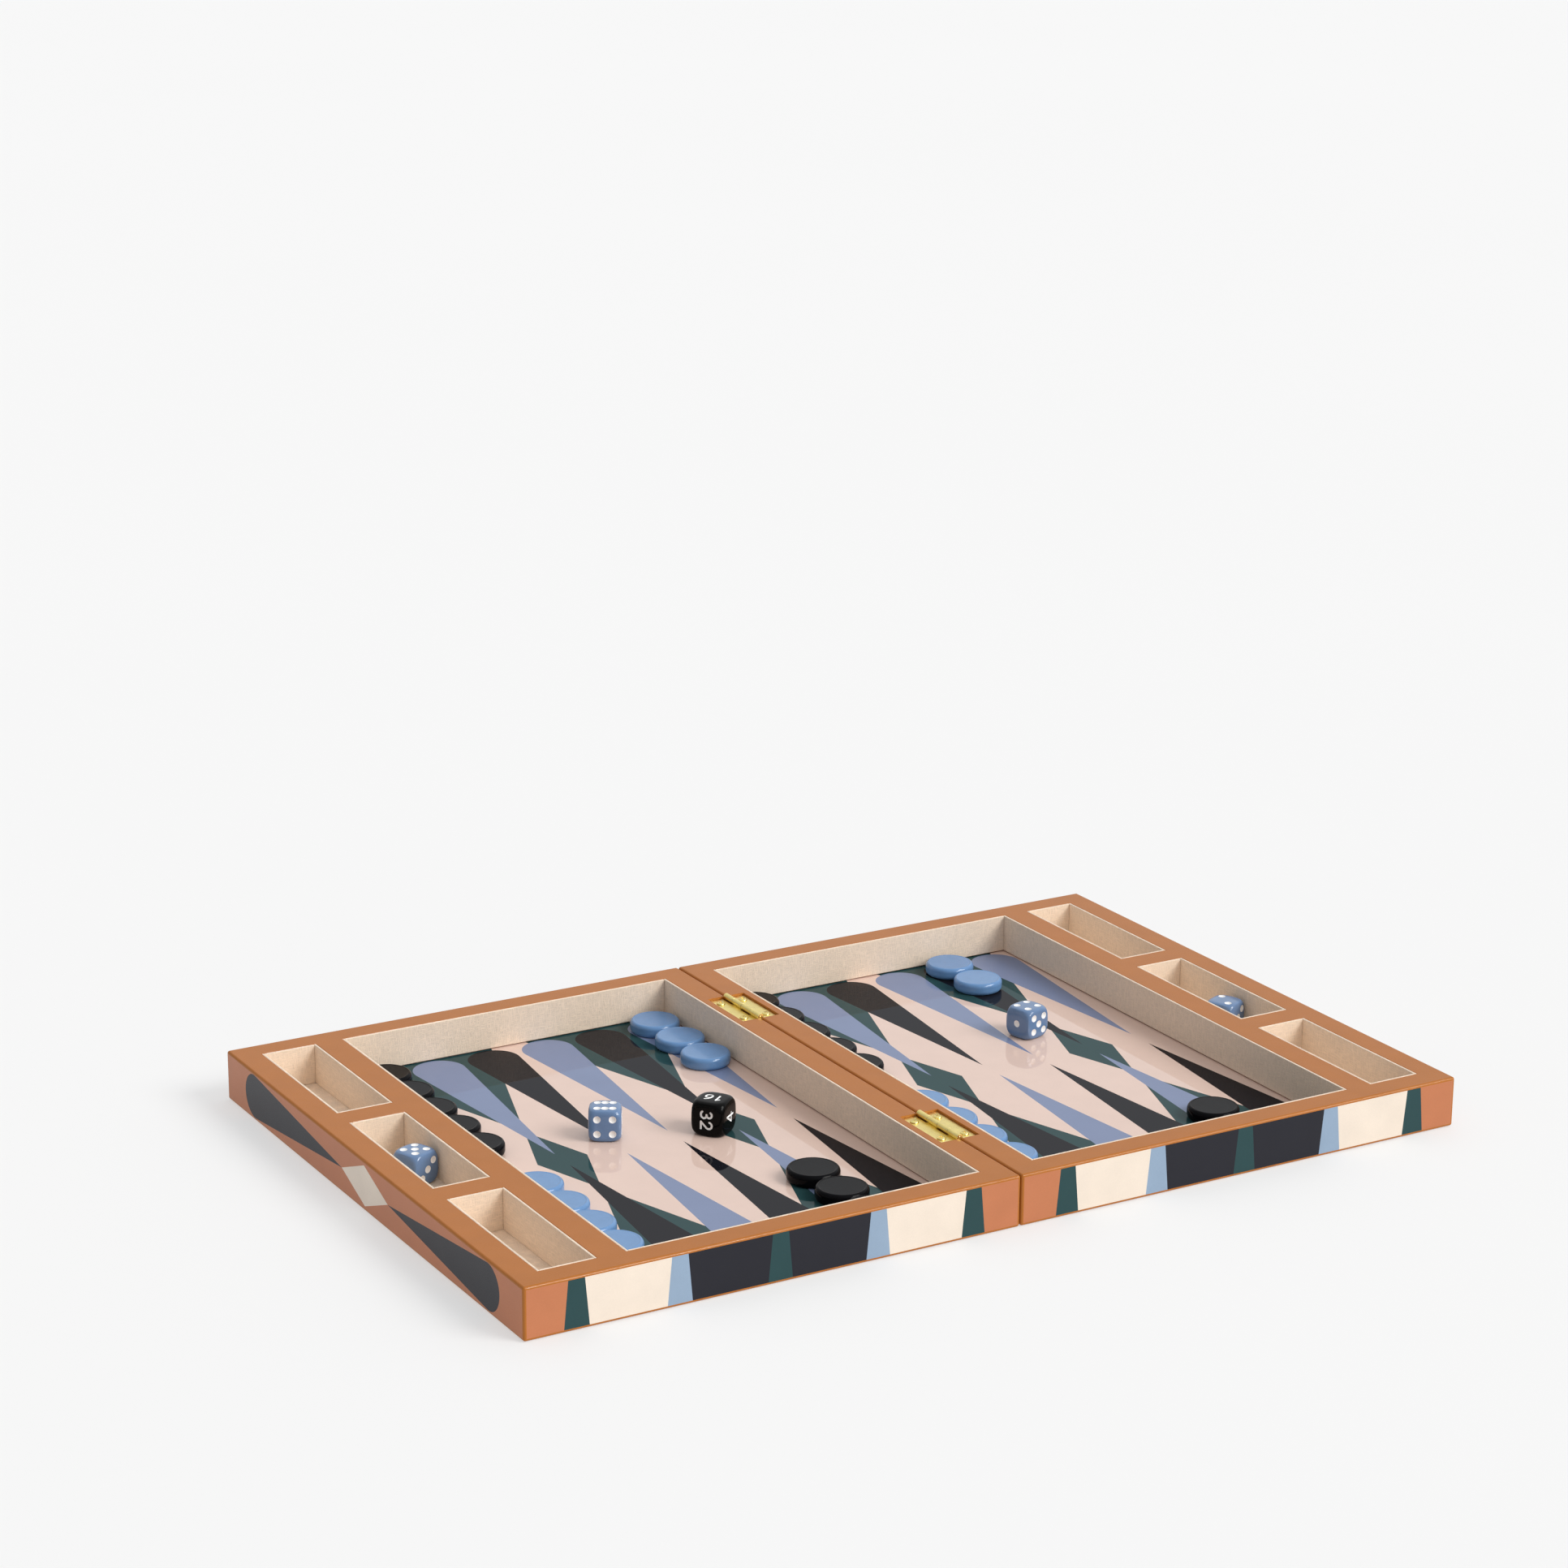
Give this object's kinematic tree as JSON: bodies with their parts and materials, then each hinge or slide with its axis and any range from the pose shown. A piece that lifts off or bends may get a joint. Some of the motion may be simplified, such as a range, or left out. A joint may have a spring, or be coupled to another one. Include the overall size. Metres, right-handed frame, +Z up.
{
  "type": "folding backgammon case",
  "caption": "Lacquered wooden board game case that folds on two brass butt hinges, lying open with lined wells and trays, round checkers, dice and a doubling cube.",
  "frame": {"origin": "on the table under the middle of the open case, on the hinge line", "axes": "+X across the hinge line from the left half to the right half, +Y along the hinge line away from the front edge, +Z up out of the wells"},
  "size_m": [0.48, 0.308, 0.0257],
  "materials": {
    "lacquered_wood": "high-gloss lacquer over wood, tan rim and printed outer walls",
    "lacquered_panel": "high-gloss lacquer over a wood panel",
    "printed_field": "mirror-gloss clear coat over a printed board",
    "cream_lining": "matt felt-like cream lining",
    "polished_brass": "polished",
    "black_resin": "glossy",
    "blue_resin": "glossy"
  },
  "bodies": {
    "left_half": {"left_frame": "lacquered_wood", "left_bottom_panel": "lacquered_panel", "left_playing_field": "printed_field", "left_well_lining": "cream_lining", "left_tray_lining": "cream_lining", "front_hinge_left_leaf": "polished_brass", "front_hinge_left_screw_1": "polished_brass", "front_hinge_left_screw_2": "polished_brass", "front_hinge_pin": "polished_brass", "back_hinge_left_leaf": "polished_brass", "back_hinge_left_screw_1": "polished_brass", "back_hinge_left_screw_2": "polished_brass", "back_hinge_pin": "polished_brass"},
    "right_half": {"right_frame": "lacquered_wood", "right_bottom_panel": "lacquered_panel", "right_playing_field": "printed_field", "right_well_lining": "cream_lining", "right_tray_lining": "cream_lining", "front_hinge_right_leaf": "polished_brass", "front_hinge_right_screw_1": "polished_brass", "front_hinge_right_screw_2": "polished_brass", "back_hinge_right_leaf": "polished_brass", "back_hinge_right_screw_1": "polished_brass", "back_hinge_right_screw_2": "polished_brass"},
    "black_checker_01": {"black_checker_01": "black_resin"},
    "black_checker_02": {"black_checker_02": "black_resin"},
    "black_checker_03": {"black_checker_03": "black_resin"},
    "black_checker_04": {"black_checker_04": "black_resin"},
    "black_checker_05": {"black_checker_05": "black_resin"},
    "blue_checker_01": {"blue_checker_01": "blue_resin"},
    "blue_checker_02": {"blue_checker_02": "blue_resin"},
    "blue_checker_03": {"blue_checker_03": "blue_resin"},
    "blue_checker_04": {"blue_checker_04": "blue_resin"},
    "blue_checker_05": {"blue_checker_05": "blue_resin"},
    "blue_checker_06": {"blue_checker_06": "blue_resin"},
    "blue_checker_07": {"blue_checker_07": "blue_resin"},
    "blue_checker_08": {"blue_checker_08": "blue_resin"},
    "black_checker_06": {"black_checker_06": "black_resin"},
    "black_checker_07": {"black_checker_07": "black_resin"},
    "black_checker_08": {"black_checker_08": "black_resin"},
    "die_1": {"die_1": "blue_resin"},
    "die_2": {"die_2": "blue_resin"},
    "doubling_cube": {"doubling_cube": "black_resin"},
    "black_checker_09": {"black_checker_09": "black_resin"},
    "black_checker_10": {"black_checker_10": "black_resin"},
    "black_checker_11": {"black_checker_11": "black_resin"},
    "black_checker_12": {"black_checker_12": "black_resin"},
    "black_checker_13": {"black_checker_13": "black_resin"},
    "blue_checker_09": {"blue_checker_09": "blue_resin"},
    "blue_checker_10": {"blue_checker_10": "blue_resin"},
    "blue_checker_11": {"blue_checker_11": "blue_resin"},
    "blue_checker_12": {"blue_checker_12": "blue_resin"},
    "blue_checker_13": {"blue_checker_13": "blue_resin"},
    "blue_checker_14": {"blue_checker_14": "blue_resin"},
    "blue_checker_15": {"blue_checker_15": "blue_resin"},
    "black_checker_14": {"black_checker_14": "black_resin"},
    "black_checker_15": {"black_checker_15": "black_resin"},
    "die_3": {"die_3": "blue_resin"},
    "die_4": {"die_4": "blue_resin"}
  },
  "joints": [
    {"name": "case_fold", "type": "hinge", "parent": "left_half", "child": "right_half", "pos_m": [0, 0, 0.02415], "axis": [0, 1, 0], "range_deg": [-180, 0]},
    {"name": "black_checker_01_lift", "type": "slide", "parent": "left_half", "child": "black_checker_01", "axis": [0, 0, 1], "range_m": [0, 0.025]},
    {"name": "black_checker_02_lift", "type": "slide", "parent": "left_half", "child": "black_checker_02", "axis": [0, 0, 1], "range_m": [0, 0.025]},
    {"name": "black_checker_03_lift", "type": "slide", "parent": "left_half", "child": "black_checker_03", "axis": [0, 0, 1], "range_m": [0, 0.025]},
    {"name": "black_checker_04_lift", "type": "slide", "parent": "left_half", "child": "black_checker_04", "axis": [0, 0, 1], "range_m": [0, 0.025]},
    {"name": "black_checker_05_lift", "type": "slide", "parent": "left_half", "child": "black_checker_05", "axis": [0, 0, 1], "range_m": [0, 0.025]},
    {"name": "blue_checker_01_lift", "type": "slide", "parent": "left_half", "child": "blue_checker_01", "axis": [0, 0, 1], "range_m": [0, 0.025]},
    {"name": "blue_checker_02_lift", "type": "slide", "parent": "left_half", "child": "blue_checker_02", "axis": [0, 0, 1], "range_m": [0, 0.025]},
    {"name": "blue_checker_03_lift", "type": "slide", "parent": "left_half", "child": "blue_checker_03", "axis": [0, 0, 1], "range_m": [0, 0.025]},
    {"name": "blue_checker_04_lift", "type": "slide", "parent": "left_half", "child": "blue_checker_04", "axis": [0, 0, 1], "range_m": [0, 0.025]},
    {"name": "blue_checker_05_lift", "type": "slide", "parent": "left_half", "child": "blue_checker_05", "axis": [0, 0, 1], "range_m": [0, 0.025]},
    {"name": "blue_checker_06_lift", "type": "slide", "parent": "left_half", "child": "blue_checker_06", "axis": [0, 0, 1], "range_m": [0, 0.025]},
    {"name": "blue_checker_07_lift", "type": "slide", "parent": "left_half", "child": "blue_checker_07", "axis": [0, 0, 1], "range_m": [0, 0.025]},
    {"name": "blue_checker_08_lift", "type": "slide", "parent": "left_half", "child": "blue_checker_08", "axis": [0, 0, 1], "range_m": [0, 0.025]},
    {"name": "black_checker_06_lift", "type": "slide", "parent": "left_half", "child": "black_checker_06", "axis": [0, 0, 1], "range_m": [0, 0.025]},
    {"name": "black_checker_07_lift", "type": "slide", "parent": "left_half", "child": "black_checker_07", "axis": [0, 0, 1], "range_m": [0, 0.025]},
    {"name": "black_checker_08_lift", "type": "slide", "parent": "left_half", "child": "black_checker_08", "axis": [0, 0, 1], "range_m": [0, 0.025]},
    {"name": "die_1_lift", "type": "slide", "parent": "left_half", "child": "die_1", "axis": [0, 0, 1], "range_m": [0, 0.025]},
    {"name": "die_2_lift", "type": "slide", "parent": "left_half", "child": "die_2", "axis": [0, 0, 1], "range_m": [0, 0.025]},
    {"name": "doubling_cube_lift", "type": "slide", "parent": "left_half", "child": "doubling_cube", "axis": [0, 0, 1], "range_m": [0, 0.025]},
    {"name": "black_checker_09_lift", "type": "slide", "parent": "right_half", "child": "black_checker_09", "axis": [0, 0, 1], "range_m": [0, 0.025]},
    {"name": "black_checker_10_lift", "type": "slide", "parent": "right_half", "child": "black_checker_10", "axis": [0, 0, 1], "range_m": [0, 0.025]},
    {"name": "black_checker_11_lift", "type": "slide", "parent": "right_half", "child": "black_checker_11", "axis": [0, 0, 1], "range_m": [0, 0.025]},
    {"name": "black_checker_12_lift", "type": "slide", "parent": "right_half", "child": "black_checker_12", "axis": [0, 0, 1], "range_m": [0, 0.025]},
    {"name": "black_checker_13_lift", "type": "slide", "parent": "right_half", "child": "black_checker_13", "axis": [0, 0, 1], "range_m": [0, 0.025]},
    {"name": "blue_checker_09_lift", "type": "slide", "parent": "right_half", "child": "blue_checker_09", "axis": [0, 0, 1], "range_m": [0, 0.025]},
    {"name": "blue_checker_10_lift", "type": "slide", "parent": "right_half", "child": "blue_checker_10", "axis": [0, 0, 1], "range_m": [0, 0.025]},
    {"name": "blue_checker_11_lift", "type": "slide", "parent": "right_half", "child": "blue_checker_11", "axis": [0, 0, 1], "range_m": [0, 0.025]},
    {"name": "blue_checker_12_lift", "type": "slide", "parent": "right_half", "child": "blue_checker_12", "axis": [0, 0, 1], "range_m": [0, 0.025]},
    {"name": "blue_checker_13_lift", "type": "slide", "parent": "right_half", "child": "blue_checker_13", "axis": [0, 0, 1], "range_m": [0, 0.025]},
    {"name": "blue_checker_14_lift", "type": "slide", "parent": "right_half", "child": "blue_checker_14", "axis": [0, 0, 1], "range_m": [0, 0.025]},
    {"name": "blue_checker_15_lift", "type": "slide", "parent": "right_half", "child": "blue_checker_15", "axis": [0, 0, 1], "range_m": [0, 0.025]},
    {"name": "black_checker_14_lift", "type": "slide", "parent": "right_half", "child": "black_checker_14", "axis": [0, 0, 1], "range_m": [0, 0.025]},
    {"name": "black_checker_15_lift", "type": "slide", "parent": "right_half", "child": "black_checker_15", "axis": [0, 0, 1], "range_m": [0, 0.025]},
    {"name": "die_3_lift", "type": "slide", "parent": "right_half", "child": "die_3", "axis": [0, 0, 1], "range_m": [0, 0.025]},
    {"name": "die_4_lift", "type": "slide", "parent": "right_half", "child": "die_4", "axis": [0, 0, 1], "range_m": [0, 0.025]}
  ]
}
